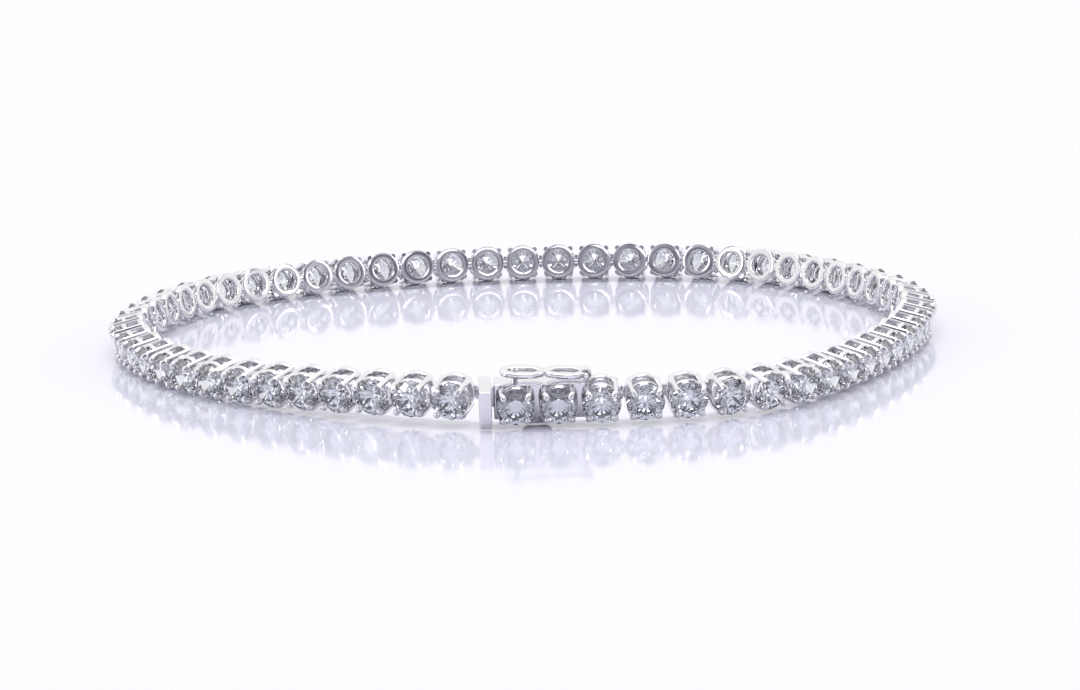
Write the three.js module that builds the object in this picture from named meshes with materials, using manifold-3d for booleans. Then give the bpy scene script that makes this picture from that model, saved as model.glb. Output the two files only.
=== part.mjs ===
// A diamond line bracelet, about 178 mm round, standing on its edge as a closed loop.
//
// Millimetres, +Z up. The loop's box is centred on the origin and stands on z = 0, with the clasp at
// the front (-Y). Every setting is modelled in its own axes: x along the chain, clockwise seen from
// above; y outward, from the face that lies on the wrist to the stone; z across the chain, upward.

import * as THREE from 'three';
import { mergeVertices } from 'three/addons/utils/BufferGeometryUtils.js';
import Module from 'manifold-3d';

const wasm = await Module();
wasm.setup();

// The chain
const RUN_LINKS = [7, 8, 7, 8, 7, 8, 7, 7];   // links joined in each run, clockwise from the clasp
const LINK_PITCH = 2.85;                      // along the hinge line
const HINGE_DEPTH = 0.4;                      // hinge line, outward from the wrist face
const HINGE_HEIGHT = 1.64;                    // hinge line above the ground where links rest on it
const TILT = THREE.MathUtils.degToRad(14);    // the stones face this far below level
const BRIDGE = { length: 0.95, depth: 0.5, height: 0.8 };   // soldered lug between two galleries

// One setting, outward from the wrist face
const SETTING_SIDES = 8;
const GALLERY_RADIUS = 1.28;
const WAIST = { radius: 1.12, out: 0.95 };
const RECESS = { radius: 0.75, depth: 0.5 };
const GIRDLE = { radius: 1.27, out: 2.05, height: 0.08 };
const TABLE = { radius: 0.7, rise: 0.41 };
const PAVILION_DEPTH = 1.1;

// The clasp, in the axes of its middle setting
const CLASP_PITCH = 2.95;
const CLASP_TO_FIRST_LINK = 7.05;             // middle setting to the first link, past the end plate
const CLASP_TO_LAST_LINK = 5.85;
const BOX = { from: -2.15, to: 4.4, depth: 1.45, height: 2.6, wall: 0.3 };
const SEAT = { out: 1.95, inner: 1.04, hole: 0.5 };
const STONE_LIFT = 0.2;                       // clasp stones sit higher, clear of the tongue
const END_PLATE = { from: 4.57, thickness: 0.87, depth: 2.75, height: 2.73 };
const TONGUE = { tip: -1.3, catch: 3.7, width: 1.5, leaf: 0.16, low: 0.38, high: 0.86 };
const PRONG = { offset: 0.97, side: 0.36, top: 2.75, foot: 1.2 };
const FOOT = { at: 1.48, width: 2.1, drop: 0.43, from: 0.5, thickness: 0.8 };

// The figure-eight safety latch, on the upper side of the box
const PIN = { at: -1.95, above: 0.45, radius: 0.18 };
const EYE = { radius: 0.36, bore: 0.26, length: 0.62 };
const POST = { thickness: 0.17, width: 0.36 };
const LATCH = { wire: 0.38, thickness: 0.36, halfWidth: 0.85, lift: THREE.MathUtils.degToRad(2.4) };
const LATCH_LOOPS = [
  { centre: 2.4, halfLength: 1.6 },
  { centre: -0.55, halfLength: 1.55 },
];
const PEG = { at: 2.95, radius: 0.22, ball: 0.29, above: 0.75 };

// Where the hinge line passes, clockwise from the middle of the clasp, and how far it is held up.
const ROUTE = [
  { x: 1.5, y: -27, lift: 0.3 },
  { x: -8, y: -25, lift: 0.5 },
  { x: -19, y: -17.5, lift: 0.1 },
  { x: -26, y: -8, lift: 0 },
  { x: -28.5, y: 4, lift: 0 },
  { x: -24, y: 17, lift: 0 },
  { x: -12, y: 25, lift: 0 },
  { x: 2, y: 27, lift: 0 },
  { x: 15, y: 24.5, lift: 0 },
  { x: 24, y: 15, lift: 0 },
  { x: 27, y: 3, lift: 0 },
  { x: 23, y: -12, lift: 0 },
  { x: 14.5, y: -24.5, lift: 0.2 },
];

const WHITE_GOLD = { color: 0xd9d9dc, roughness: 0.18, metalness: 1 };
const DIAMOND = { color: 0xf2f4fb, roughness: 0.05, metalness: 0 };

// ---- Solids ----

// A closed geometry as a solid that can be joined and cut.
function solid(geometry) {
  const bare = geometry.index ? geometry.toNonIndexed() : geometry.clone();
  for (const name of Object.keys(bare.attributes)) {
    if (name !== 'position') bare.deleteAttribute(name);
  }
  const merged = mergeVertices(bare, 1e-4);
  return new wasm.Manifold(new wasm.Mesh({
    numProp: 3,
    vertProperties: new Float32Array(merged.attributes.position.array),
    triVerts: new Uint32Array(merged.index.array),
  }));
}

function joined(solids) {
  return solids.reduce((whole, next) => whole.add(next));
}

function geometryOf(manifold) {
  const mesh = manifold.getMesh();
  const geometry = new THREE.BufferGeometry();
  geometry.setAttribute('position', new THREE.BufferAttribute(mesh.vertProperties, 3));
  geometry.setIndex(new THREE.BufferAttribute(mesh.triVerts, 1));
  return geometry;
}

// A box given by its lowest and highest corners.
function block(low, high) {
  const size = high.map((value, axis) => value - low[axis]);
  const box = new THREE.BoxGeometry(...size);
  return box.translate(...low.map((value, axis) => value + size[axis] / 2));
}

// A profile of [radius, outward] pairs turned about the setting's own axis, y.
function turned(profile, sides = SETTING_SIDES) {
  const points = profile.map(([radius, out]) => new THREE.Vector2(radius, out));
  return new THREE.LatheGeometry(points, sides, Math.PI / sides);
}

// A corner radius that puts the flats of a regular polygon at the given distance from its centre.
function overFlats(distance, sides = SETTING_SIDES) {
  return distance / Math.cos(Math.PI / sides);
}

// ---- One setting with its stone ----

function linkGeometry() {
  return turned([
    [0, RECESS.depth],
    [RECESS.radius, RECESS.depth],
    [RECESS.radius, 0],
    [overFlats(GALLERY_RADIUS), 0],
    [overFlats(WAIST.radius), WAIST.out],
    [overFlats(GIRDLE.radius), GIRDLE.out],
    [TABLE.radius, GIRDLE.out + TABLE.rise],
    [0, GIRDLE.out + TABLE.rise],
  ]);
}

function bridgeGeometry() {
  const { length, depth, height } = BRIDGE;
  return block([-length / 2, 0.05, -height / 2], [length / 2, 0.05 + depth, height / 2]);
}

// ---- The route of the hinge line ----

const linkCount = RUN_LINKS.reduce((sum, count) => sum + count);
const loopLength = CLASP_TO_FIRST_LINK + (linkCount - 1) * LINK_PITCH + CLASP_TO_LAST_LINK;

function hingeLine() {
  const points = ROUTE.map(({ x, y, lift }) => new THREE.Vector3(x, y, lift));
  const draft = new THREE.CatmullRomCurve3(points, true, 'catmullrom', 0.5);
  draft.arcLengthDivisions = 4000;
  const scale = loopLength / draft.getLength();
  const plan = new THREE.Vector3(scale, scale, 1);
  const height = new THREE.Vector3(0, 0, HINGE_HEIGHT);
  const curve = new THREE.CatmullRomCurve3(
    points.map((point) => point.clone().multiply(plan).add(height)), true, 'catmullrom', 0.5);
  curve.arcLengthDivisions = 4000;
  return curve;
}

const line = hingeLine();

// The place and axes of a setting at a distance along the hinge line.
function station(distance) {
  const share = (distance / loopLength) % 1;
  const along = line.getTangentAt(share).setZ(0).normalize();
  const level = new THREE.Vector3(-along.y, along.x, 0);
  const out = level.clone().multiplyScalar(Math.cos(TILT)).setZ(-Math.sin(TILT));
  const up = new THREE.Vector3().crossVectors(along, out);
  return new THREE.Matrix4()
    .makeBasis(along, out, up)
    .setPosition(line.getPointAt(share))
    .multiply(new THREE.Matrix4().makeTranslation(0, -HINGE_DEPTH, 0));
}

function linkDistance(index) {
  return CLASP_TO_FIRST_LINK + index * LINK_PITCH;
}

// ---- Parts of the clasp ----

const settingPlaces = [CLASP_PITCH, 0, -CLASP_PITCH];

function seatSolid(place) {
  const onBox = place > BOX.from;
  const foot = onBox ? BOX.depth - 0.1 : 0;
  const wall = overFlats(GALLERY_RADIUS);
  const ring = turned([
    [SEAT.hole, foot], [wall, foot], [wall, SEAT.out], [SEAT.inner, SEAT.out], [SEAT.hole, foot],
  ]);
  const pieces = [solid(ring.translate(place, 0, 0))];
  for (const [x, z] of [[1, 1], [1, -1], [-1, -1], [-1, 1]]) {
    const centre = [place + x * PRONG.offset, z * PRONG.offset];
    const half = PRONG.side / 2;
    pieces.push(solid(block(
      [centre[0] - half, PRONG.foot, centre[1] - half],
      [centre[0] + half, PRONG.top, centre[1] + half],
    )));
  }
  return joined(pieces);
}

function claspStoneGeometry(place) {
  const girdle = GIRDLE.out + STONE_LIFT;
  return turned([
    [0, girdle - PAVILION_DEPTH],
    [GIRDLE.radius - 0.14, girdle],
    [GIRDLE.radius - 0.14, girdle + GIRDLE.height],
    [TABLE.radius, girdle + TABLE.rise],
    [0, girdle + TABLE.rise],
  ]).translate(place, 0, 0);
}

// A rounded foot under the box's lower side.
function footSolid() {
  const half = FOOT.width / 2;
  const round = FOOT.width / 4;
  const shape = new THREE.Shape();
  shape.moveTo(-half, 0.1);
  shape.lineTo(-half, 0);
  shape.quadraticCurveTo(-half, -FOOT.drop, -half + round, -FOOT.drop);
  shape.lineTo(half - round, -FOOT.drop);
  shape.quadraticCurveTo(half, -FOOT.drop, half, 0);
  shape.lineTo(half, 0.1);
  const geometry = new THREE.ExtrudeGeometry(shape, {
    depth: FOOT.thickness, bevelEnabled: false, curveSegments: 4,
  });
  geometry.rotateX(Math.PI / 2);
  return solid(geometry.translate(FOOT.at, FOOT.from + FOOT.thickness, -BOX.height / 2));
}

// A cylinder along y, between two outward distances.
function roundBar(radius, from, to, sides = 10) {
  const bar = new THREE.CylinderGeometry(radius, radius, to - from, sides);
  return bar.translate(0, (from + to) / 2, 0);
}

const upperSide = BOX.height / 2;
const latchMiddle = BOX.depth / 2;

function pegSolid() {
  const stem = new THREE.CylinderGeometry(PEG.radius, PEG.radius, PEG.above + 0.1, 8);
  stem.rotateX(Math.PI / 2).translate(PEG.at, latchMiddle, upperSide + PEG.above / 2 - 0.05);
  const ball = new THREE.SphereGeometry(PEG.ball, 8, 6);
  ball.rotateX(Math.PI / 2).translate(PEG.at, latchMiddle, upperSide + PEG.above);
  return solid(stem).add(solid(ball));
}

// The two posts and the pin that the safety latch turns on.
function hingeSolid() {
  const pinHeight = upperSide + PIN.above;
  const post = (from, to) => solid(block(
    [PIN.at - POST.width / 2, from, upperSide - 0.1],
    [PIN.at + POST.width / 2, to, pinHeight + POST.width / 2],
  ));
  return joined([
    post(0, POST.thickness),
    post(BOX.depth - POST.thickness, BOX.depth),
    solid(roundBar(PIN.radius, 0.05, BOX.depth - 0.05).translate(PIN.at, 0, pinHeight)),
  ]);
}

// The box, hollow for the tongue and open towards the end plate, with all that is soldered to it.
function claspBoxGeometry() {
  const { from, to, depth, height, wall } = BOX;
  const shell = solid(block([from, 0, -height / 2], [to, depth, height / 2]));
  const hollow = solid(block(
    [from + wall, wall, -height / 2 + wall], [to + 1, END_PLATE.depth / 3, height / 2 - wall]));
  const culetHoles = settingPlaces.filter((place) => place > from).map((place) => solid(
    roundBar(SEAT.hole, wall + 0.1, depth + 0.1, SETTING_SIDES).rotateY(Math.PI / SETTING_SIDES)
      .translate(place, 0, 0)));
  const body = joined([shell, footSolid(), pegSolid(), hingeSolid()]).subtract(hollow);
  const seats = joined(settingPlaces.map(seatSolid));
  return geometryOf(body.add(seats).subtract(joined(culetHoles)));
}

// The end plate with its folded spring tongue: two leaves that meet at the tip.
function tongueGeometry() {
  const { tip, catch: end, width, leaf, low, high } = TONGUE;
  const plateFace = END_PLATE.from;
  const shape = new THREE.Shape();
  shape.moveTo(plateFace + 0.1, low);
  shape.lineTo(plateFace + 0.1, low + leaf);
  shape.lineTo(tip + 0.3, low + leaf);
  shape.lineTo(end, high - leaf);
  shape.lineTo(end, high);
  shape.lineTo(tip, low + leaf);
  shape.lineTo(tip, low);
  const leaves = new THREE.ExtrudeGeometry(shape, { depth: width, bevelEnabled: false });
  const plate = block(
    [plateFace, 0, -END_PLATE.height / 2],
    [plateFace + END_PLATE.thickness, END_PLATE.depth, END_PLATE.height / 2]);
  return geometryOf(solid(plate).add(solid(leaves.translate(0, 0, -width / 2))));
}

function latchLoopSolid({ centre, halfLength }) {
  const shape = new THREE.Shape();
  shape.absellipse(centre, 0, halfLength, LATCH.halfWidth, 0, 2 * Math.PI);
  const hole = new THREE.Path();
  hole.absellipse(centre, 0, halfLength - LATCH.wire, LATCH.halfWidth - LATCH.wire, 0, 2 * Math.PI);
  shape.holes.push(hole);
  const geometry = new THREE.ExtrudeGeometry(shape, {
    depth: LATCH.thickness, bevelEnabled: false, curveSegments: 18,
  });
  return solid(geometry.translate(0, 0, -LATCH.thickness / 2));
}

// The figure-eight latch about its pin: two joined loops with an eye at the hinge end.
function latchGeometry() {
  const eye = roundBar(EYE.radius, -EYE.length / 2, EYE.length / 2).translate(PIN.at, 0, 0);
  const bore = roundBar(EYE.bore, -BOX.depth, BOX.depth).translate(PIN.at, 0, 0);
  const latch = joined([...LATCH_LOOPS.map(latchLoopSolid), solid(eye)]).subtract(solid(bore));
  const geometry = geometryOf(latch).translate(-PIN.at, 0, 0);
  geometry.rotateY(-LATCH.lift);
  return geometry.translate(PIN.at, latchMiddle, upperSide + PIN.above);
}

// ---- The bracelet ----

const bracelet = new THREE.Group();
const whiteGold = new THREE.MeshStandardMaterial(WHITE_GOLD);
const diamond = new THREE.MeshStandardMaterial(DIAMOND);

function addPiece(name, geometry, material) {
  const mesh = new THREE.Mesh(geometry, material);
  mesh.name = name;
  bracelet.add(mesh);
}

function runGeometry(first, count) {
  const places = Array.from({ length: count }, (_, index) => linkDistance(first + index));
  const settings = places.map((place) => solid(linkGeometry().applyMatrix4(station(place))));
  const bridges = places.slice(1).map((place) => solid(
    bridgeGeometry().applyMatrix4(station(place - LINK_PITCH / 2))));
  return geometryOf(joined([...settings, ...bridges]));
}

let firstLink = 0;
RUN_LINKS.forEach((count, index) => {
  addPiece(`link_run_${index + 1}`, runGeometry(firstLink, count), whiteGold);
  firstLink += count;
});

const claspPlace = station(0);
addPiece('clasp_box', claspBoxGeometry().applyMatrix4(claspPlace), whiteGold);
addPiece('tongue', tongueGeometry().applyMatrix4(claspPlace), whiteGold);
addPiece('safety_latch', latchGeometry().applyMatrix4(claspPlace), whiteGold);
settingPlaces.forEach((place, index) => {
  addPiece(`clasp_stone_${index + 1}`, claspStoneGeometry(place).applyMatrix4(claspPlace), diamond);
});

// Centre the whole on the origin and stand it on the ground.
bracelet.updateMatrixWorld(true);
const bounds = new THREE.Box3().setFromObject(bracelet, true);
const middle = bounds.getCenter(new THREE.Vector3());
bracelet.position.set(-middle.x, -middle.y, -bounds.min.z);

export default bracelet;
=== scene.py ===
import math

import bpy
import numpy as np
from bpy.props import FloatProperty, FloatVectorProperty, IntProperty, PointerProperty
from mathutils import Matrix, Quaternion, Vector


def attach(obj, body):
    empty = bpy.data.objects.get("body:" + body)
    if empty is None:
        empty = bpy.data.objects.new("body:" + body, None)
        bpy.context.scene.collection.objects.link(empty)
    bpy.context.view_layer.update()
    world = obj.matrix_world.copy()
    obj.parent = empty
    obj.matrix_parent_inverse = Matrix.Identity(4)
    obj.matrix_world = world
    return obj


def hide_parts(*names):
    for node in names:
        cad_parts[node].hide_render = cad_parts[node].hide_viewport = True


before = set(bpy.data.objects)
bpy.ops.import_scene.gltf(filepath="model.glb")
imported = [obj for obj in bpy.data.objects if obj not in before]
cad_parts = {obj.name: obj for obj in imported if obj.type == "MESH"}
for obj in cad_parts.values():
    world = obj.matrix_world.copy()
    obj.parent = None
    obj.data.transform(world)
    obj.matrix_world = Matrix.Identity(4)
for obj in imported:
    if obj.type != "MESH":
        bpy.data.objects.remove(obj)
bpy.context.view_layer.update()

bl_info = {
    "name": "Diamond Line Bracelet",
    "version": (1, 0, 0),
    "blender": (4, 5, 0),
    "location": "3D View > Sidebar > Bracelet",
    "description": "A line bracelet of round stones in four-prong settings, with a box clasp and its latch",
    "category": "Object",
}

MM = 0.001

# The chain, as packed (millimetres)
RUN_LINKS = (7, 8, 7, 8, 7, 8, 7, 7)
LINK_PITCH = 2.85
HINGE_DEPTH = 0.4
HINGE_HEIGHT = 1.64
TILT = math.radians(14.0)
CLASP_PITCH = 2.95
CLASP_TO_FIRST_LINK = 7.05
CLASP_TO_LAST_LINK = 5.85
CHAIN_LENGTH = CLASP_TO_FIRST_LINK + (sum(RUN_LINKS) - 1) * LINK_PITCH + CLASP_TO_LAST_LINK
LINE_POINTS = 4001
LOOP_MIDDLE = (0.791, 0.285, 0.006)   # from the route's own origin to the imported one

# Where the hinge line passes, clockwise from the clasp's middle: x, y and how far it is held up.
ROUTE = np.array([
    (1.5, -27, 0.3), (-8, -25, 0.5), (-19, -17.5, 0.1), (-26, -8, 0), (-28.5, 4, 0),
    (-24, 17, 0), (-12, 25, 0), (2, 27, 0), (15, 24.5, 0), (24, 15, 0),
    (27, 3, 0), (23, -12, 0), (14.5, -24.5, 0.2),
])

# The clasp, in the axes of its middle setting: x along, y outward, z up
BOX = {"from": -2.15, "to": 4.4, "depth": 1.45, "height": 2.6, "wall": 0.3}
END_PLATE = {"from": 4.57, "thickness": 0.87, "depth": 2.75, "height": 2.73}
TONGUE = {"tip": -1.3, "catch": 3.7, "width": 1.5, "leaf": 0.16, "low": 0.38, "high": 0.86}
FOOT = {"at": 1.48, "width": 2.1, "drop": 0.43, "from": 0.5, "thickness": 0.8}
PIN = {"at": -1.95, "above": 0.45, "radius": 0.18, "dome": 0.03}
POST = {"thickness": 0.17, "width": 0.36}
LATCH = {"half_width": 0.85, "strip": 0.5, "thickness": 0.36, "lift": math.radians(2.4)}
LATCH_LOOPS = ((2.4, 1.6), (-0.55, 1.55))   # centre and half length
LATCH_EYE = {"radius": 0.32, "half_thickness": 0.07, "half_length": 0.31}
PEG = {"at": 2.95, "radius": 0.22, "ball": 0.29, "above": 0.75}
SUNK = 0.1                                  # how far a soldered piece goes into the next
STONE_LIFT = 0.2
CLASP_STONES = (CLASP_PITCH, 0.0, -CLASP_PITCH)

# A prong, from the girdle outward: where it starts to lean, where its claw starts and how far it leans in
PRONG = {"shoulder": 0.1, "claw": 0.46, "lean": 0.2}
PRONG_CORNERS = ((1, 1), (1, -1), (-1, -1), (-1, 1))
CLAW_WAY = (0.34, 0.94)                   # which way a claw ends: inward and outward
CLAW_RINGS = (0.35, 0.65, 0.87, 0.98)     # rings of the claw's round end, as shares of its radius

# The hinge between two links
LUG = {"half_length": 0.42, "half_thickness": 0.17, "half_height": 0.27, "inset": 0.13}
HINGE_PIN = {"radius": 0.12, "end_radius": 0.08, "half_length": 0.5, "rounding": 0.04}

# The brilliant's cut, as shares of its radius
CUT = {"table": 0.56, "star": 0.79, "lower": 0.23, "crown": 0.33, "pavilion": 0.86, "edge": 0.035}


# ---------------------------------------------------------------- sizes and colours

def size_setting(name, description, size, least, most):
    """A size that a user may change. All three values are in millimetres."""
    return FloatProperty(
        name=name, description=description, default=size * MM, min=least * MM, max=most * MM,
        unit="LENGTH", precision=5)


def colour_setting(name, description, colour):
    """A colour that a user may change."""
    return FloatVectorProperty(
        name=name, description=description, subtype="COLOR", default=colour, min=0, max=1)


class BraceletSizes(bpy.types.PropertyGroup):
    """Sizes of the settings and the stones."""

    gallery_radius: size_setting(
        "Gallery Radius", "Outside of the ring that lies on the wrist", 1.33, 0.5, 1.4)
    gallery_bore: size_setting("Gallery Bore", "Opening of the ring behind each stone", 0.8, 0.2, 1.1)
    gallery_depth: size_setting("Gallery Depth", "Depth of that ring, outward", 0.46, 0.1, 0.8)
    rail_out: size_setting("Rail Place", "Middle of the rail under the stone, outward", 1.5, 0.8, 2.0)
    rail_wire: size_setting("Rail Wire", "Radius of the rail's wire", 0.17, 0.05, 0.3)
    prong_place: size_setting(
        "Prong Place", "Distance of each prong from the stone's axis, each way", 0.965, 0.5, 1.1)
    prong_wire: size_setting("Prong Wire", "Radius of a prong", 0.2, 0.08, 0.3)
    claw_wire: size_setting("Claw Radius", "Radius of the rounded claw", 0.235, 0.1, 0.35)
    stone_radius: size_setting("Stone Radius", "Radius of a stone at its girdle", 1.35, 0.5, 1.38)
    girdle_out: size_setting("Girdle Place", "Height of the girdle, outward", 2.05, 1.5, 2.3)
    ring_sides: IntProperty(
        name="Ring Steps", description="Steps round each ring", default=36, min=12, max=64)


class BraceletColours(bpy.types.PropertyGroup):
    """Colours of the metal, the stones and the ground they stand on."""

    metal: colour_setting("White Gold", "Colour of the polished metal", (0.86, 0.855, 0.875))
    stone: colour_setting("Stone", "Colour seen through a stone", (0.985, 0.985, 1.0))
    ground: colour_setting("Ground", "Colour of the ground", (0.8, 0.8, 0.92))


# ---------------------------------------------------------------- shapes as arrays

# A shape is its points, an (n, 3) array in millimetres, and its faces, a list of (k, corners) arrays.

def grid_faces(rows, columns, close_rows=False):
    """Quads between neighbouring points of a grid: row i and i + 1, column j and j + 1, counted round."""
    row = np.arange(rows if close_rows else rows - 1)[:, None]
    column = np.arange(columns)[None, :]
    next_row, next_column = (row + 1) % rows, (column + 1) % columns
    corners = [
        row * columns + column, row * columns + next_column,
        next_row * columns + next_column, next_row * columns + column,
    ]
    return np.stack(corners, -1).reshape(-1, 4)


def fan_faces(pole, ring, turn):
    """Triangles from one pole to each step of a ring of point numbers, turned over if turn is -1."""
    after = np.roll(ring, -1)
    pair = (ring, after) if turn > 0 else (after, ring)
    return np.stack([np.full(len(ring), pole), *pair], -1)


def combined(shapes):
    """The shapes as one: points one after another, with each face's numbers moved up by those before."""
    starts = np.cumsum([0] + [len(points) for points, _ in shapes])
    moved = [rows + start for (_, faces), start in zip(shapes, starts) for rows in faces]
    return np.vstack([points for points, _ in shapes]), moved


def copied(shape, places):
    """One copy of the shape for each 4 x 4 matrix: every point times every matrix, as one product."""
    points, faces = shape
    moved = np.einsum("kij,nj->kni", places[:, :3, :3], points) + places[:, None, :3, 3]
    steps = np.arange(len(places)) * len(points)
    repeated = [(rows[None] + steps[:, None, None]).reshape(-1, rows.shape[1]) for rows in faces]
    return moved.reshape(-1, 3), repeated


def shifted(shape, x=0.0, y=0.0, z=0.0):
    """The shape moved: x, y and z are added to every point."""
    return shape[0] + np.array([x, y, z]), shape[1]


def quarter_turned(shape, way):
    """The shape turned a quarter about the x axis: (x, y, z) goes to (x, -way z, way y)."""
    points, faces = shape
    return points[:, [0, 2, 1]] * (1, -way, way), faces


def closed_ring(grid):
    """A shape from a grid of rings, its last ring joined to its first."""
    return grid.reshape(-1, 3), [grid_faces(*grid.shape[:2], close_rows=True)]


def capped(grid, poles):
    """A shape from a grid of rings, its first and last rings each closed by triangles to a pole."""
    rows, steps = grid.shape[:2]
    count = rows * steps
    faces = [
        grid_faces(rows, steps),
        fan_faces(count, np.arange(steps), -1),
        fan_faces(count + 1, np.arange(count - steps, count), 1),
    ]
    return np.vstack([grid.reshape(-1, 3), poles]), faces


def turned(profile, steps, closed=False):
    """Each (radius, out) of the profile carried round the y axis: x = r sin a, y = out, z = r cos a."""
    profile = np.asarray(profile, float)
    angle = np.arange(steps) * 2 * np.pi / steps
    radius = profile[:, :1]
    out = np.broadcast_to(profile[:, 1:], (len(profile), steps))
    grid = np.stack([radius * np.sin(angle), out, radius * np.cos(angle)], -1)
    if closed:
        return closed_ring(grid)
    return capped(grid, np.array([[0, profile[0, 1], 0], [0, profile[-1, 1], 0]]))


def rounded_section(middle, half, steps=14, squareness=0.5):
    """A rounded rectangle: each half size times cos or sin, to the power of the squareness, sign kept."""
    angle = np.arange(steps) * 2 * np.pi / steps
    wave = np.stack([np.cos(angle), np.sin(angle)], -1)
    return np.asarray(middle) + np.asarray(half) * np.sign(wave) * np.abs(wave) ** squareness


def tube(path, radius, across, steps=12):
    """A round bar: point = path + radius (cos a * side + sin a * across), side = across x direction."""
    path = np.asarray(path, float)
    side = np.cross(across, np.gradient(path, axis=0))
    side /= np.linalg.norm(side, axis=1, keepdims=True)
    angle = np.arange(steps) * 2 * np.pi / steps
    radius = np.broadcast_to(radius, len(path))[:, None, None]
    ring = np.cos(angle)[None, :, None] * side[:, None] + np.sin(angle)[None, :, None] * np.asarray(across)
    return capped(path[:, None] + radius * ring, path[[0, -1]])


def block(low, high):
    """A plain box between two corners, its eight corners numbered by x, then y, then z."""
    corner = np.stack(np.meshgrid([0, 1], [0, 1], [0, 1], indexing="ij"), -1).reshape(-1, 3)
    points = np.asarray(low) + corner * (np.asarray(high) - np.asarray(low))
    faces = [(0, 1, 3, 2), (4, 6, 7, 5), (0, 4, 5, 1), (2, 3, 7, 6), (0, 2, 6, 4), (1, 5, 7, 3)]
    return points, [np.array(faces)]


def extruded(outline, low, high):
    """An outline of (x, z), anticlockwise seen from -y, carried along y, with a flat face at each end."""
    outline = np.asarray(outline, float)
    count = len(outline)
    rows = [np.stack([outline[:, 0], np.full(count, y), outline[:, 1]], -1) for y in (low, high)]
    ends = [np.arange(count)[None], np.arange(2 * count - 1, count - 1, -1)[None]]
    return np.vstack(rows), [grid_faces(2, count)[:, ::-1], *ends]


def rectangle(x, low, high, inset):
    """The four corners at x of a box between two corners, each moved in by the inset."""
    y0, z0 = low[1] + inset, low[2] + inset
    y1, z1 = high[1] - inset, high[2] - inset
    return [(x, y0, z0), (x, y1, z0), (x, y1, z1), (x, y0, z1)]


def tray(low, high, wall):
    """A box hollowed from its +x end: rectangles carried along x, outer then inner, and both ends flat."""
    start, end = low[0], high[0]
    corners = [
        *rectangle(start, low, high, 0), *rectangle(end, low, high, 0),
        *rectangle(end, low, high, wall), *rectangle(start + wall, low, high, wall),
    ]
    ends = [np.array([[3, 2, 1, 0]]), np.array([[12, 13, 14, 15]])]
    return np.array(corners, float), [grid_faces(4, 4), *ends]


# ---------------------------------------------------------------- the route of the chain

def curve_through(points, share):
    """A closed curve through the points. At each point its direction is half of the step between the point
    before and the point after, and between two points it is the cubic with those directions."""
    place = share * len(points)
    index = np.floor(place).astype(int) % len(points)
    part = (place - np.floor(place))[:, None]
    before, start, end, after = (points[(index + step) % len(points)] for step in (-1, 0, 1, 2))
    leave, arrive = (end - before) / 2, (after - start) / 2
    square, cube = part**2, part**3
    return ((2 * cube - 3 * square + 1) * start + (cube - 2 * square + part) * leave
            + (3 * square - 2 * cube) * end + (cube - square) * arrive)


def running_length(line):
    """Length from the first point of a line to each of its points, straight from point to point."""
    return np.concatenate([[0], np.cumsum(np.linalg.norm(np.diff(line, axis=0), axis=1))])


def hinge_line():
    """The route, scaled in plan until it is as long as the chain, and the length run at each point."""
    share = np.linspace(0, 1, LINE_POINTS)
    route = ROUTE.copy()
    route[:, :2] *= CHAIN_LENGTH / running_length(curve_through(route, share))[-1]
    line = curve_through(route, share)
    return line, running_length(line)


def points_along(line, length, distances):
    """Points of the hinge line, each by its distance from the clasp's middle."""
    wanted = (np.asarray(distances, float) / CHAIN_LENGTH % 1) * length[-1]
    return np.stack([np.interp(wanted, length, line[:, axis]) for axis in range(3)], -1)


def stations(distances):
    """A 4 x 4 matrix for each distance along the hinge line: along, outward and up, then the wrist face's
    place. Along is level, and outward is square to it and tilted down."""
    line, length = hinge_line()
    step = 0.02
    along = points_along(line, length, distances + step) - points_along(line, length, distances - step)
    along[:, 2] = 0
    along /= np.linalg.norm(along, axis=1, keepdims=True)
    level = np.stack([-along[:, 1], along[:, 0], np.zeros(len(along))], -1)
    out = level * math.cos(TILT) - np.array([0, 0, math.sin(TILT)])
    up = np.cross(along, out)
    hinges = points_along(line, length, distances)
    places = np.tile(np.eye(4), (len(along), 1, 1))
    places[:, :3, :3] = np.stack([along, out, up], -1)
    places[:, :3, 3] = hinges - HINGE_DEPTH * out + np.array([0, 0, HINGE_HEIGHT]) + LOOP_MIDDLE
    return places


def clasp_place():
    """The clasp's own matrix, in an array of one."""
    return stations(np.array([0.0]))


def link_distances(run):
    """How far along the hinge line the links of a run stand."""
    first = sum(RUN_LINKS[:run])
    return CLASP_TO_FIRST_LINK + LINK_PITCH * np.arange(first, first + RUN_LINKS[run])


# ---------------------------------------------------------------- settings and stones

def prong_shape(sizes, foot, lift):
    """Four round bars beside the stone. Each goes straight up, leans in over the stone by a share of the
    way to the power of 1.6, and ends in part of a ball, whose rings are sqrt(1 - share^2) wide."""
    share = np.linspace(0, 1, 7)
    ball = np.array(CLAW_RINGS)
    shoulder = sizes.girdle_out + PRONG["shoulder"] + lift
    claw = sizes.girdle_out + PRONG["claw"] + lift
    leaning = np.stack([PRONG["lean"] * share**1.6, shoulder + (claw - shoulder) * share], -1)
    tip = leaning[-1] + np.outer(ball * sizes.claw_wire, CLAW_WAY)
    path = np.concatenate([[[0, foot]], leaning, tip])
    radius = np.concatenate([
        [sizes.prong_wire],
        sizes.prong_wire + (sizes.claw_wire - sizes.prong_wire) * share**0.7,
        sizes.claw_wire * np.sqrt(1 - ball**2),
    ])
    shapes = []
    for x, z in PRONG_CORNERS:
        inward = np.array([-x, 0, -z]) / math.sqrt(2)
        centre = np.array([x, 0, z]) * sizes.prong_place
        line = centre + path[:, :1] * inward + path[:, 1:] * np.array([0, 1, 0])
        shapes.append(tube(line, radius, np.cross([0, 1, 0], inward), steps=10))
    return combined(shapes)


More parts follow.
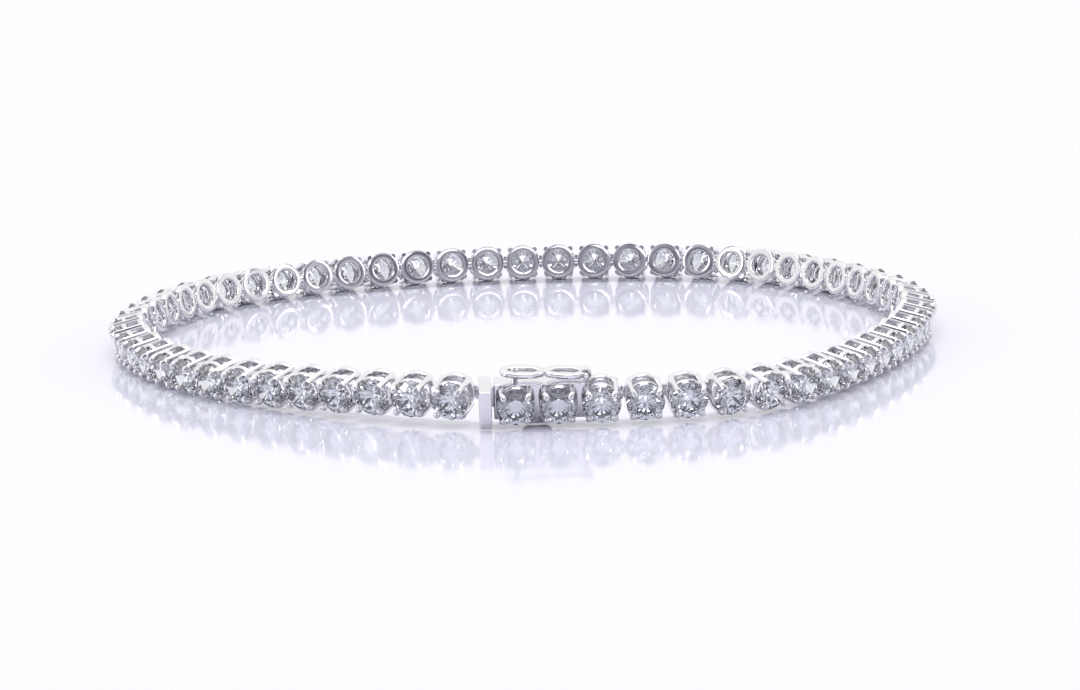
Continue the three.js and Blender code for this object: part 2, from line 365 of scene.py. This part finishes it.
def head_shape(sizes, foot, lift=0.0):
    """The rail under the stone and the four prongs that hold it."""
    middle = sizes.gallery_radius - sizes.rail_wire
    rail = turned(
        rounded_section((middle, sizes.rail_out + lift), (sizes.rail_wire, sizes.rail_wire), 10, 0.9),
        sizes.ring_sides, closed=True)
    return combined([rail, prong_shape(sizes, foot, lift)])


def gallery_shape(sizes):
    """The flat ring that lies on the wrist: a rounded rectangle carried round the stone's axis."""
    middle = (sizes.gallery_radius + sizes.gallery_bore) / 2
    half = (sizes.gallery_radius - sizes.gallery_bore) / 2
    section = rounded_section((middle, sizes.gallery_depth / 2), (half, sizes.gallery_depth / 2), 14, 0.45)
    return turned(section, sizes.ring_sides, closed=True)


def setting_shape(sizes):
    """One link: gallery ring, rail and prongs."""
    return combined([gallery_shape(sizes), head_shape(sizes, foot=sizes.gallery_depth / 2)])


def knuckle_shape():
    """The hinge between two links: a rounded lug carried along the chain, and the pin up through it."""
    out = HINGE_DEPTH - LUG["inset"]
    section = rounded_section((0, 0), (LUG["half_thickness"], LUG["half_height"]), 12, 0.5)
    along = np.linspace(-LUG["half_length"], LUG["half_length"], 3)
    x = np.broadcast_to(along[:, None], (len(along), len(section)))
    y = np.broadcast_to(out + section[:, 0], x.shape)
    z = np.broadcast_to(section[:, 1], x.shape)
    lug = capped(np.stack([x, y, z], -1), [[along[0], out, 0], [along[-1], out, 0]])
    half = HINGE_PIN["half_length"]
    shank = half - HINGE_PIN["rounding"]
    profile = [
        (HINGE_PIN["end_radius"], -half), (HINGE_PIN["radius"], -shank),
        (HINGE_PIN["radius"], shank), (HINGE_PIN["end_radius"], half),
    ]
    return combined([lug, shifted(quarter_turned(turned(profile, 10), 1), y=out)])


def ring_at(size, height, steps, first=0.0):
    """Points round the y axis: x = size sin a, y = height, z = size cos a, from a first angle."""
    angle = first + np.arange(steps) * 2 * np.pi / steps
    return np.stack([size * np.sin(angle), np.full(steps, height), size * np.cos(angle)], -1)


def brilliant(radius, girdle_out):
    """A round brilliant of 57 facets. A crown point at radius r, angle a from a main facet's middle has the
    height crown (1 - r cos a) / (1 - table); a pavilion point has the depth pavilion (1 - r cos a)."""
    half_turn = np.pi / 8
    edge, pavilion = CUT["edge"], CUT["pavilion"]
    star_height = CUT["crown"] * (1 - CUT["star"] * math.cos(half_turn)) / (1 - CUT["table"])
    lower_depth = pavilion * (1 - CUT["lower"] * math.cos(half_turn))
    points = np.vstack([
        ring_at(CUT["table"], edge + CUT["crown"], 8),
        ring_at(CUT["star"], edge + star_height, 8, half_turn),
        ring_at(1, edge, 16),
        ring_at(1, 0, 16),
        ring_at(CUT["lower"], -lower_depth, 8, half_turn),
        [[0, -pavilion, 0]],
    ])
    eighths = np.arange(8)
    table = eighths
    star = 8 + eighths
    above_edge = 16 + 2 * eighths
    below_edge = 32 + 2 * eighths
    lower = 48 + eighths
    culet = np.full(8, 56)
    star_before, lower_before = np.roll(star, 1), np.roll(lower, 1)
    facets = (
        (table, star, np.roll(table, -1)),
        (table, star_before, above_edge, star),
        (star, above_edge, above_edge + 1),
        (star, above_edge + 1, np.roll(above_edge, -1)),
        (culet, lower, below_edge, lower_before),
        (lower, below_edge + 1, below_edge),
        (lower, np.roll(below_edge, -1), below_edge + 1),
    )
    edge_faces = (grid_faces(2, 16) + above_edge[0])[:, ::-1]
    faces = [table[None], *(np.stack(corners, -1) for corners in facets), edge_faces]
    return points * radius + np.array([0, girdle_out, 0]), faces


# ---------------------------------------------------------------- the clasp's shapes

def clasp_box_shape():
    """The box, open at the end where the tongue goes in, with the posts of the latch's hinge."""
    half = BOX["height"] / 2
    body = tray((BOX["from"], 0, -half), (BOX["to"], BOX["depth"], half), BOX["wall"])
    top = half + PIN["above"] + POST["width"] / 2
    posts = [
        block((PIN["at"] - POST["width"] / 2, y, half - SUNK),
              (PIN["at"] + POST["width"] / 2, y + POST["thickness"], top))
        for y in (0.0, BOX["depth"] - POST["thickness"])]
    return combined([body, *posts])


def foot_shape():
    """A tab with round lower corners, each a quarter of an ellipse, under the box's lower side."""
    half, drop = FOOT["width"] / 2, FOOT["drop"]
    turn = np.linspace(0, np.pi / 2, 9)
    corner = half / 2
    right = np.stack([half - corner + corner * np.sin(turn), -drop * np.cos(turn)], -1)
    outline = np.vstack([right, [[half, SUNK], [-half, SUNK]], right[::-1] * (-1, 1)])
    return shifted(extruded(outline, FOOT["from"], FOOT["from"] + FOOT["thickness"]),
                   x=FOOT["at"], z=-BOX["height"] / 2)


def peg_shape():
    """The stud that the latch snaps over: a stem with a ball on it."""
    ball = np.linspace(-0.7, np.pi / 2 - 0.12, 9)
    profile = [(PEG["radius"], -SUNK), (PEG["radius"], PEG["above"] - 0.2)]
    profile += [(PEG["ball"] * math.cos(a), PEG["above"] + PEG["ball"] * math.sin(a)) for a in ball]
    upright = quarter_turned(turned(profile, 24), 1)
    return shifted(upright, x=PEG["at"], y=BOX["depth"] / 2, z=BOX["height"] / 2)


def pin_shape():
    """The latch's pin, along y, with a low domed head at each end."""
    radius, dome, depth = PIN["radius"], PIN["dome"], BOX["depth"]
    profile = [
        (radius * 0.5, -2 * dome), (radius * 0.9, -dome), (radius, 0.0),
        (radius, depth), (radius * 0.9, depth + dome), (radius * 0.5, depth + 2 * dome),
    ]
    return shifted(turned(profile, 20), x=PIN["at"], z=BOX["height"] / 2 + PIN["above"])


def latch_shape():
    """The figure-eight latch about its pin: two oval rings of flat strip and the eye. A ring's point is the
    ellipse's, plus the section's own width along the ellipse's normal and its height upward."""
    rings = 56
    angle = np.arange(rings) * 2 * np.pi / rings
    section = rounded_section((0, 0), (LATCH["strip"] / 2, LATCH["thickness"] / 2), 16, 0.35)
    round_way = np.stack([np.cos(angle), np.sin(angle)], -1)
    shapes = []
    for centre, half_length in LATCH_LOOPS:
        middle = np.array([half_length, LATCH["half_width"]]) - LATCH["strip"] / 2
        normal = round_way * middle[::-1]
        normal /= np.linalg.norm(normal, axis=1, keepdims=True)
        flat = (round_way * middle)[:, None] + section[None, :, :1] * normal[:, None]
        height = np.broadcast_to(section[None, :, 1:], (*flat.shape[:2], 1))
        points = np.concatenate([flat, height], -1) + (centre - PIN["at"], 0, 0)
        faces = grid_faces(rings, len(section), close_rows=True)[:, ::-1]
        shapes.append((points.reshape(-1, 3), [faces]))
    eye = rounded_section(
        (LATCH_EYE["radius"], 0), (LATCH_EYE["half_thickness"], LATCH_EYE["half_length"]), 12, 0.6)
    shapes.append(turned(eye, 28, closed=True))
    points, faces = combined(shapes)
    x, y, z = points.T
    rise, level = math.sin(LATCH["lift"]), math.cos(LATCH["lift"])
    lifted = np.stack([x * level - z * rise, y, x * rise + z * level], -1)
    above = BOX["height"] / 2 + PIN["above"]
    return shifted((lifted, faces), x=PIN["at"], y=BOX["depth"] / 2, z=above)


def end_plate_shape():
    """The plate that closes the box."""
    half = END_PLATE["height"] / 2
    start = END_PLATE["from"]
    return block((start, 0, -half), (start + END_PLATE["thickness"], END_PLATE["depth"], half))


def tongue_shape():
    """The folded spring tongue: two thin leaves that meet at the tip."""
    low, high, leaf = TONGUE["low"], TONGUE["high"], TONGUE["leaf"]
    root = END_PLATE["from"] + SUNK
    outline = [(TONGUE["tip"], low), (root, low), (root, low + leaf), (TONGUE["tip"] + 0.3, low + leaf),
               (TONGUE["catch"], high - leaf), (TONGUE["catch"], high), (TONGUE["tip"], low + leaf)]
    return quarter_turned(extruded(outline, -TONGUE["width"] / 2, TONGUE["width"] / 2), -1)


# ---------------------------------------------------------------- finishes

class Socket:
    """A number's socket in a material. A sum or product of it with a socket or number adds a Math node."""

    def __init__(self, paint, socket):
        self.paint, self.socket = paint, socket

    def _math(self, operation, other):
        return self.paint.node("ShaderNodeMath", {"operation": operation}, {0: self, 1: other})

    def __add__(self, other):
        return self._math("ADD", other)

    __radd__ = __add__

    def __mul__(self, other):
        return self._math("MULTIPLY", other)

    __rmul__ = __mul__


class Paint:
    """The nodes of one material or world, and one method that adds any of them."""

    def __init__(self, owner):
        owner.use_nodes = True
        self.tree = owner.node_tree
        self.tree.nodes.clear()

    def node(self, kind, settings=None, inputs=None, output=0):
        """Adds a node, sets its settings, then sets or links its inputs, and gives one output."""
        node = self.tree.nodes.new(kind)
        for name, value in (settings or {}).items():
            if name == "stops":
                self._stops(node.color_ramp, value)
            else:
                setattr(node, name, value)
        for name, value in (inputs or {}).items():
            socket = node.inputs[name]
            if isinstance(value, Socket):
                self.tree.links.new(value.socket, socket)
            else:
                socket.default_value = value
        return Socket(self, node.outputs[output]) if len(node.outputs) else node

    @staticmethod
    def _stops(ramp, stops):
        """Puts the stops on a ramp, adding as many as it lacks."""
        while len(ramp.elements) < len(stops):
            ramp.elements.new(0.5)
        for element, (place, colour) in zip(ramp.elements, stops):
            element.position = place
            element.color = (*colour, 1)

    def noise(self, scale, detail=2.0, stretch=(1, 1, 1)):
        """Noise on the object's own coordinates, at so many cells in a metre."""
        coordinates = self.node("ShaderNodeTexCoord", output="Object")
        placed = self.node("ShaderNodeMapping", inputs={"Vector": coordinates, "Scale": stretch})
        return self.node("ShaderNodeTexNoise", inputs={"Vector": placed, "Scale": scale, "Detail": detail})

    def between(self, share, first, second):
        """A colour between two, by a share."""
        colours = {0: share, 6: (*first, 1), 7: (*second, 1)}
        return self.node("ShaderNodeMix", {"data_type": "RGBA"}, colours, output=2)

    def ramp(self, share, stops):
        """A colour read from stops, each a place and a colour, by a share."""
        return self.node("ShaderNodeValToRGB", {"stops": stops}, {"Fac": share})


def surface(name, build, **constants):
    """A material: build adds the nodes and returns what varies, and the constants go on the shader itself."""
    material = bpy.data.materials.new(name)
    paint = Paint(material)
    shader = paint.node("ShaderNodeBsdfPrincipled", inputs={**constants, **build(paint)})
    paint.node("ShaderNodeOutputMaterial", inputs={"Surface": shader})
    return material


def white_gold(colours):
    """Polished white gold: faint cloudy patches in its colour and polish, and fine buffing marks."""
    colour = tuple(colours.metal)
    shaded = tuple(value * 0.9 for value in colour)

    def build(paint):
        patches = paint.noise(700)
        buffing = paint.noise(9000, stretch=(1, 1, 3.5))
        bump = paint.node(
            "ShaderNodeBump", inputs={"Strength": 0.06, "Distance": 0.00002, "Height": buffing})
        return {
            "Base Color": paint.between(patches, shaded, colour),
            "Roughness": 0.07 + patches * 0.1 + buffing * 0.04,
            "Normal": bump,
        }

    return surface("polished_white_gold", build, Metallic=1.0)


def cut_stone(colours):
    """A cut colourless stone, clear and sharply polished, its tint a little different from the next one's."""
    colour = tuple(colours.stone)
    tinted = (colour[0] * 0.9, colour[1] * 0.935, colour[2] * 0.95)

    def build(paint):
        tint = paint.noise(230, detail=0.0)
        return {"Base Color": paint.between(tint, tinted, colour)}

    return surface("cut_stone", build, **{"Roughness": 0.0, "IOR": 2.42, "Transmission Weight": 1.0})


def ground_finish(colours):
    """A smooth pale table with a soft gloss."""
    colour = tuple(colours.ground)
    paler = tuple(min(1, value * 1.02) for value in colour)

    def build(paint):
        cloud = paint.noise(6)
        return {"Base Color": paint.between(cloud, colour, paler), "Roughness": 0.07 + cloud * 0.03}

    return surface("pale_ground", build, IOR=1.8)


def finish_named(name, make, colours):
    """The material of that name, made the first time it is asked for."""
    return bpy.data.materials.get(name) or make(colours)


# ---------------------------------------------------------------- pieces

class InMillimetres:
    """A property group's sizes, read in millimetres. Whole numbers stay as they are."""

    def __init__(self, group):
        self.group = group

    def __getattr__(self, name):
        value = getattr(self.group, name)
        return value / MM if isinstance(value, float) else value


def add_object(name, shape, material, crease=math.radians(35), bevel=0.0):
    """An object from a shape in millimetres, smooth except at edges sharper than the crease."""
    points, faces = shape
    mesh = bpy.data.meshes.new(name)
    sizes = np.concatenate([np.full(len(rows), rows.shape[1]) for rows in faces])
    starts = np.concatenate([[0], np.cumsum(sizes)[:-1]]).astype(np.int32)
    corners = np.concatenate([rows.ravel() for rows in faces]).astype(np.int32)
    mesh.vertices.add(len(points))
    mesh.vertices.foreach_set("co", (points * MM).astype(np.float32).ravel())
    mesh.loops.add(len(corners))
    mesh.loops.foreach_set("vertex_index", corners)
    mesh.polygons.add(len(sizes))
    mesh.polygons.foreach_set("loop_start", starts)
    mesh.polygons.foreach_set("use_smooth", np.full(len(sizes), crease > 0))
    mesh.update(calc_edges=True)
    if mesh.validate():
        raise RuntimeError(f"{name} has faces that aren't whole")
    if crease > 0:
        mesh.set_sharp_from_angle(angle=crease)
    mesh.materials.append(material)
    made = bpy.data.objects.new(name, mesh)
    bpy.context.scene.collection.objects.link(made)
    if bevel:
        rounding = made.modifiers.new("rounded edges", "BEVEL")
        rounding.width, rounding.segments = bevel * MM, 3
        rounding.limit_method, rounding.angle_limit = "ANGLE", math.radians(40)
        rounding.harden_normals = True
    return made


def add_piece(name, shape, material, body, nodes, slot, **look):
    """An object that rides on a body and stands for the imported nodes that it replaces."""
    made = add_object(name, shape, material, **look)
    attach(made, body)
    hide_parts(*nodes)
    return made


def settings_of(context):
    """The scene's sizes, in millimetres, and its colours."""
    return InMillimetres(context.scene.bracelet_sizes), context.scene.bracelet_colours


class BRACELET_OT_chain(bpy.types.Operator):
    """Makes the eight runs of the chain: settings with their hinges, and stones"""

    bl_idname = "bracelet.chain"
    bl_label = "Chain"

    def execute(self, context):
        sizes, colours = settings_of(context)
        metal = finish_named("polished_white_gold", white_gold, colours)
        clear = finish_named("cut_stone", cut_stone, colours)
        setting, knuckle = setting_shape(sizes), knuckle_shape()
        stone = brilliant(sizes.stone_radius, sizes.girdle_out)
        for run in range(len(RUN_LINKS)):
            node = f"link_run_{run + 1}"
            distances = link_distances(run)
            hinges = distances + LINK_PITCH / 2
            if run == 0:
                hinges = np.append(hinges, CLASP_TO_FIRST_LINK - LINK_PITCH / 2)
            if run == len(RUN_LINKS) - 1:
                hinges[-1] = distances[-1] + (CLASP_TO_LAST_LINK - CLASP_PITCH) / 2
            links = stations(distances)
            metalwork = combined([copied(setting, links), copied(knuckle, stations(hinges))])
            add_piece(f"{node}_settings", metalwork, metal, "bracelet", [node], "white_gold")
            add_piece(
                f"{node}_stones", copied(stone, links), clear, "bracelet", [node], "diamond", crease=0)
        return {"FINISHED"}


class BRACELET_OT_clasp(bpy.types.Operator):
    """Makes the clasp's box, its three settings with their stones, and the end plate with its tongue"""

    bl_idname = "bracelet.clasp"
    bl_label = "Clasp"

    def execute(self, context):
        sizes, colours = settings_of(context)
        metal = finish_named("polished_white_gold", white_gold, colours)
        clear = finish_named("cut_stone", cut_stone, colours)
        place = clasp_place()
        head = head_shape(sizes, foot=BOX["depth"] - SUNK, lift=STONE_LIFT)
        ringed_head = combined([
            gallery_shape(sizes), head_shape(sizes, foot=sizes.gallery_depth / 2, lift=STONE_LIFT)])
        seats = [shifted(shape, x=x) for shape, x in zip((head, head, ringed_head), CLASP_STONES)]
        parts = (
            ("clasp_body", "clasp_box", clasp_box_shape(), 0.09),
            ("clasp_foot", "clasp_box", foot_shape(), 0.06),
            ("clasp_seats", "clasp_box", combined([*seats, peg_shape(), pin_shape()]), 0.0),
            ("end_plate", "tongue", end_plate_shape(), 0.1),
            ("spring_tongue", "tongue", tongue_shape(), 0.02),
        )
        for name, node, shape, bevel in parts:
            add_piece(name, copied(shape, place), metal, "bracelet", [node], "white_gold", bevel=bevel)
        stone = brilliant(sizes.stone_radius, sizes.girdle_out + STONE_LIFT)
        for number, x in enumerate(CLASP_STONES, start=1):
            node = f"clasp_stone_{number}"
            add_piece(
                f"{node}_cut", copied(shifted(stone, x=x), place), clear, "bracelet", [node], "diamond",
                crease=0)
        return {"FINISHED"}


class BRACELET_OT_latch(bpy.types.Operator):
    """Makes the figure-eight safety latch"""

    bl_idname = "bracelet.latch"
    bl_label = "Safety Latch"

    def execute(self, context):
        _, colours = settings_of(context)
        metal = finish_named("polished_white_gold", white_gold, colours)
        shape = copied(latch_shape(), clasp_place())
        add_piece("latch_wire", shape, metal, "latch", ["safety_latch"], "white_gold")
        return {"FINISHED"}


# The stage. A panel has its place, width and height in metres and its power in watts.
GROUND = block((-3000, -3000, -20), (3000, 3000, 0))   # millimetres
PANELS = (
    ("top_panel", (0.0, 0.1, 0.7), 0.5, 0.35, 1.7),
    ("left_panel", (-0.55, -0.35, 0.25), 0.1, 0.3, 0.5),
    ("right_panel", (0.6, -0.25, 0.3), 0.1, 0.3, 0.4),
    ("front_panel", (0.1, -0.7, 0.42), 0.35, 0.06, 0.5),
)
SURROUND = {
    "front": (0.1, -0.96, 0.26),
    "tones": ((0.0, (1.0, 1.0, 1.0)), (0.3, (0.95, 0.95, 0.97)), (0.62, (0.5, 0.5, 0.56)),
              (1.0, (0.36, 0.36, 0.42))),
    "spots": ((0.44, (0.3, 0.3, 0.36)), (0.52, (1.0, 1.0, 1.0))),
    "spotted_part": ((0.1, (0.0, 0.0, 0.0)), (0.45, (1.0, 1.0, 1.0))),
}
CAMERA = {
    "rise": math.radians(10.8), "lean": math.radians(-1.46), "distance": 0.356,
    "aim": (0.0012, 0.0003, 0.00013), "lens": 159.6,
}


class BRACELET_OT_stage(bpy.types.Operator):
    """Makes the ground, the light and the camera"""

    bl_idname = "bracelet.stage"
    bl_label = "Stage"

    def execute(self, context):
        _, colours = settings_of(context)
        ground = add_object("ground", GROUND, finish_named("pale_ground", ground_finish, colours))
        self.add_world(context)
        for name, place, width, height, power in PANELS:
            self.add_panel(context, name, Vector(place), width, height, power)
        self.add_camera(context)
        context.scene.view_settings.view_transform = "Standard"
        return {"FINISHED"}

    def add_world(self, context):
        """A pale surround, grey and patchy in front of the clasp. The camera sees it as plain white."""
        world = bpy.data.worlds.new("surround")
        paint = Paint(world)
        direction = paint.node("ShaderNodeTexCoord", output="Generated")
        towards = paint.node(
            "ShaderNodeVectorMath", {"operation": "DOT_PRODUCT"}, {0: direction, 1: SURROUND["front"]},
            output="Value")
        patches = paint.node(
            "ShaderNodeTexNoise", inputs={"Vector": direction, "Scale": 3.2, "Detail": 1.0})
        tone = paint.ramp(towards, SURROUND["tones"])
        spotted = paint.ramp(patches, SURROUND["spots"])
        ahead = paint.ramp(towards, SURROUND["spotted_part"])
        shaded = paint.node(
            "ShaderNodeMix", {"data_type": "RGBA", "blend_type": "MULTIPLY"},
            {0: ahead, 6: tone, 7: spotted}, output=2)
        background = paint.node("ShaderNodeBackground", inputs={"Color": shaded, "Strength": 1.05})
        seen = paint.node("ShaderNodeBackground", inputs={"Color": (1, 1, 1, 1), "Strength": 1.0})
        camera = paint.node("ShaderNodeLightPath", output="Is Camera Ray")
        mixed = paint.node("ShaderNodeMixShader", inputs={0: camera, 1: background, 2: seen})
        paint.node("ShaderNodeOutputWorld", inputs={"Surface": mixed})
        context.scene.world = world

    def add_panel(self, context, name, place, width, height, power):
        """A soft rectangular light that looks at the loop."""
        light = bpy.data.lights.new(name, "AREA")
        light.shape = "RECTANGLE"
        light.size, light.size_y = width, height
        light.energy = power
        lamp = bpy.data.objects.new(name, light)
        lamp.location = place
        lamp.rotation_euler = (-place).to_track_quat("-Z", "Y").to_euler()
        context.scene.collection.objects.link(lamp)

    def add_camera(self, context):
        """A long lens in front of the clasp, a little above the table."""
        camera = bpy.data.cameras.new("camera")
        camera.lens, camera.sensor_width = CAMERA["lens"], 36.0
        camera.clip_start, camera.clip_end = 0.01, 20.0
        made = bpy.data.objects.new("camera", camera)
        back = Vector((0, -math.cos(CAMERA["rise"]), math.sin(CAMERA["rise"])))
        made.location = Vector(CAMERA["aim"]) + back * CAMERA["distance"]
        turn = (-back).to_track_quat("-Z", "Y") @ Quaternion((0, 0, 1), CAMERA["lean"])
        made.rotation_euler = turn.to_euler()
        context.scene.collection.objects.link(made)
        context.scene.camera = made


class BRACELET_PT_panel(bpy.types.Panel):
    """The bracelet's sizes, colours and makers"""

    bl_label = "Bracelet"
    bl_idname = "BRACELET_PT_panel"
    bl_space_type = "VIEW_3D"
    bl_region_type = "UI"
    bl_category = "Bracelet"

    def draw(self, context):
        layout = self.layout
        for group in (context.scene.bracelet_sizes, context.scene.bracelet_colours):
            for name in group.__annotations__:
                layout.prop(group, name)
        for operator in OPERATORS:
            layout.operator(operator.bl_idname)


OPERATORS = (BRACELET_OT_chain, BRACELET_OT_clasp, BRACELET_OT_latch, BRACELET_OT_stage)
CLASSES = (BraceletSizes, BraceletColours, *OPERATORS, BRACELET_PT_panel)


def register():
    """Registers the classes and puts the two property groups on the scene."""
    for kind in CLASSES:
        bpy.utils.register_class(kind)
    bpy.types.Scene.bracelet_sizes = PointerProperty(type=BraceletSizes)
    bpy.types.Scene.bracelet_colours = PointerProperty(type=BraceletColours)


def unregister():
    """Takes away what register added."""
    del bpy.types.Scene.bracelet_colours
    del bpy.types.Scene.bracelet_sizes
    for kind in reversed(CLASSES):
        bpy.utils.unregister_class(kind)


def main():
    """Makes the bracelet and its stage."""
    register()
    bpy.ops.bracelet.chain()
    bpy.ops.bracelet.clasp()
    bpy.ops.bracelet.latch()
    bpy.ops.bracelet.stage()


if __name__ == "__main__":
    main()
